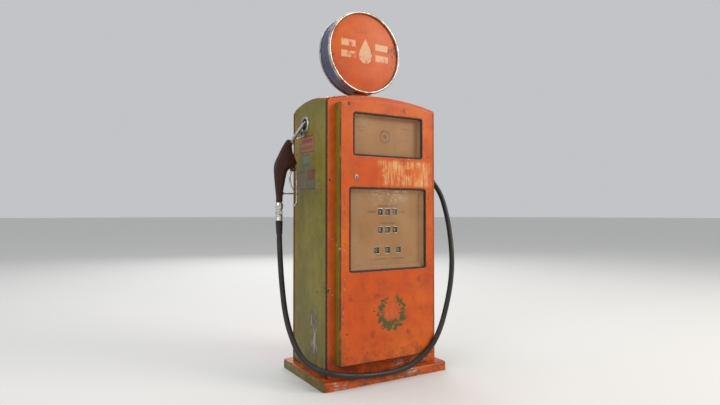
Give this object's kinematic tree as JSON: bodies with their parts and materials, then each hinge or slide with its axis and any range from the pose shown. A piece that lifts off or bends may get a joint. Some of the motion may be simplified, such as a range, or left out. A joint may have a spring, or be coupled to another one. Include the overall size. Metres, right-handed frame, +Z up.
{
  "type": "fuel pump",
  "caption": "Free-standing computing fuel pump: domed cabinet with counter dial behind glass, round drum sign on its roof, side-hung nozzle and rubber hose.",
  "frame": {"origin": "middle of the base's underside, on the ground", "axes": "+Z up, -Y the front with the dial, +X to the right of someone facing the pump"},
  "size_m": [0.998, 0.5402, 1.968],
  "materials": {
    "orange_paint": "worn semi-gloss enamel, chipped at edges",
    "olive_paint": "worn semi-gloss enamel, rubbed and stained",
    "cream_enamel": "aged enamel",
    "window_glass": "clear with dust",
    "black_rubber": "semi-matt, scuffed",
    "bare_steel": "worn bright steel",
    "chrome_trim": "polished, lightly pitted",
    "cast_metal": "sand-cast, oily",
    "drum_steel": "blue-grey enamel, satin",
    "nozzle_lacquer": "dark lacquer over cast metal, worn",
    "machine_paint": "satin machine enamel",
    "meter_brass": "dull brass",
    "counter_black": "matt black",
    "lamp_glass": "frosted white"
  },
  "bodies": {
    "root": {"base_plinth": "orange_paint", "front_frame": "orange_paint", "rear_frame": "orange_paint", "left_side_panel": "olive_paint", "right_side_panel": "olive_paint", "roof_panel": "orange_paint", "front_panel": "orange_paint", "upper_window_gasket": "black_rubber", "upper_window_glass": "window_glass", "lower_window_gasket": "black_rubber", "lower_window_glass": "window_glass", "rear_hinge_lower": "bare_steel", "rear_hinge_upper": "bare_steel", "sign_panel": "cream_enamel", "sign_lamp": "lamp_glass", "dial_plate": "cream_enamel", "register_box": "machine_paint", "sale_wheel_shaft": "bare_steel", "volume_wheel_shaft": "bare_steel", "price_wheel_shaft": "bare_steel", "pump_shelf": "cast_metal", "register_shelf": "cast_metal", "motor": "machine_paint", "drive_belt": "black_rubber", "pump_unit": "cast_metal", "suction_pipe": "cast_metal", "meter": "meter_brass", "discharge_pipe": "cast_metal", "junction_box": "cast_metal", "globe_drum": "drum_steel", "globe_front_rim": "bare_steel", "globe_rear_rim": "bare_steel", "globe_front_lens": "orange_paint", "globe_rear_lens": "orange_paint", "globe_collar": "orange_paint", "globe_lamp": "lamp_glass", "nozzle_holder": "bare_steel", "hose_outlet": "bare_steel", "hose": "black_rubber"},
    "nozzle": {"nozzle_body": "nozzle_lacquer", "nozzle_spout": "bare_steel", "nozzle_guard": "bare_steel"},
    "trigger": {"nozzle_trigger": "chrome_trim"},
    "swivel": {"nozzle_swivel": "chrome_trim"},
    "hook": {"switch_hook": "chrome_trim"},
    "lock": {"panel_lock": "chrome_trim"},
    "rear_door": {"rear_door": "orange_paint"},
    "motor_drive": {"motor_pulley": "cast_metal"},
    "pump_drive": {"pump_pulley": "cast_metal"},
    "meter_drive": {"meter_shaft": "bare_steel"},
    "sale_wheel_1": {"sale_wheel_1": "counter_black"},
    "sale_wheel_2": {"sale_wheel_2": "counter_black"},
    "sale_wheel_3": {"sale_wheel_3": "counter_black"},
    "volume_wheel_1": {"volume_wheel_1": "counter_black"},
    "volume_wheel_2": {"volume_wheel_2": "counter_black"},
    "volume_wheel_3": {"volume_wheel_3": "counter_black"},
    "price_wheel_1": {"price_wheel_1": "counter_black"},
    "price_wheel_2": {"price_wheel_2": "counter_black"},
    "price_wheel_3": {"price_wheel_3": "counter_black"}
  },
  "joints": [
    {"name": "nozzle_lift_off", "type": "slide", "parent": "root", "child": "nozzle", "axis": [-1, 0, 0], "range_m": [0, 0.12]},
    {"name": "trigger_pull", "type": "hinge", "parent": "nozzle", "child": "trigger", "pos_m": [-0.402, 0.056, 1.081], "axis": [0, 1, 0], "range_deg": [0, 18], "stiffness_Nm_per_rad": 0.8, "springref_deg": -6.88},
    {"name": "swivel_turn", "type": "hinge", "parent": "nozzle", "child": "swivel", "pos_m": [-0.477, 0.056, 0.86], "axis": [0, 0, 1], "continuous": true},
    {"name": "hook_rise", "type": "hinge", "parent": "root", "child": "hook", "pos_m": [-0.345, 0.056, 1.258], "axis": [0, 1, 0], "range_deg": [0, 20]},
    {"name": "lock_turn", "type": "hinge", "parent": "root", "child": "lock", "pos_m": [-0.195, -0.2445, 1.029], "axis": [0, -1, 0], "range_deg": [0, 90]},
    {"name": "rear_door_swing", "type": "hinge", "parent": "root", "child": "rear_door", "pos_m": [-0.295, 0.234, 0.75], "axis": [0, 0, 1], "range_deg": [0, 110]},
    {"name": "motor_spin", "type": "hinge", "parent": "root", "child": "motor_drive", "pos_m": [-0.015, 0.09, 0.13], "axis": [1, 0, 0], "continuous": true},
    {"name": "pump_spin", "type": "hinge", "parent": "root", "child": "pump_drive", "pos_m": [-0.015, 0.09, 0.39], "axis": [1, 0, 0], "continuous": true},
    {"name": "meter_spin", "type": "hinge", "parent": "root", "child": "meter_drive", "pos_m": [0.188, -0.03, 0.53], "axis": [0, 0, 1], "continuous": true},
    {"name": "sale_wheel_1_turn", "type": "hinge", "parent": "root", "child": "sale_wheel_1", "pos_m": [-0.035, -0.1727, 0.857], "axis": [1, 0, 0], "continuous": true},
    {"name": "sale_wheel_2_turn", "type": "hinge", "parent": "root", "child": "sale_wheel_2", "pos_m": [0.01, -0.1727, 0.857], "axis": [1, 0, 0], "continuous": true},
    {"name": "sale_wheel_3_turn", "type": "hinge", "parent": "root", "child": "sale_wheel_3", "pos_m": [0.055, -0.1727, 0.857], "axis": [1, 0, 0], "continuous": true},
    {"name": "volume_wheel_1_turn", "type": "hinge", "parent": "root", "child": "volume_wheel_1", "pos_m": [-0.035, -0.1727, 0.765], "axis": [1, 0, 0], "continuous": true},
    {"name": "volume_wheel_2_turn", "type": "hinge", "parent": "root", "child": "volume_wheel_2", "pos_m": [0.01, -0.1727, 0.765], "axis": [1, 0, 0], "continuous": true},
    {"name": "volume_wheel_3_turn", "type": "hinge", "parent": "root", "child": "volume_wheel_3", "pos_m": [0.055, -0.1727, 0.765], "axis": [1, 0, 0], "continuous": true},
    {"name": "price_wheel_1_turn", "type": "hinge", "parent": "root", "child": "price_wheel_1", "pos_m": [-0.058, -0.1727, 0.661], "axis": [1, 0, 0], "continuous": true},
    {"name": "price_wheel_2_turn", "type": "hinge", "parent": "root", "child": "price_wheel_2", "pos_m": [0.01, -0.1727, 0.661], "axis": [1, 0, 0], "continuous": true},
    {"name": "price_wheel_3_turn", "type": "hinge", "parent": "root", "child": "price_wheel_3", "pos_m": [0.078, -0.1727, 0.661], "axis": [1, 0, 0], "continuous": true}
  ],
  "couplings": [
    {"joint": "hook_rise", "follows": "nozzle_lift_off", "rad_per_m": 2.9},
    {"joint": "pump_spin", "follows": "motor_spin", "ratio": 0.4},
    {"joint": "volume_wheel_3_turn", "follows": "meter_spin", "ratio": 0.25},
    {"joint": "volume_wheel_2_turn", "follows": "meter_spin", "ratio": 0.025},
    {"joint": "volume_wheel_1_turn", "follows": "meter_spin", "ratio": 0.0025},
    {"joint": "sale_wheel_3_turn", "follows": "meter_spin", "ratio": 0.6},
    {"joint": "sale_wheel_2_turn", "follows": "meter_spin", "ratio": 0.06},
    {"joint": "sale_wheel_1_turn", "follows": "meter_spin", "ratio": 0.006}
  ]
}
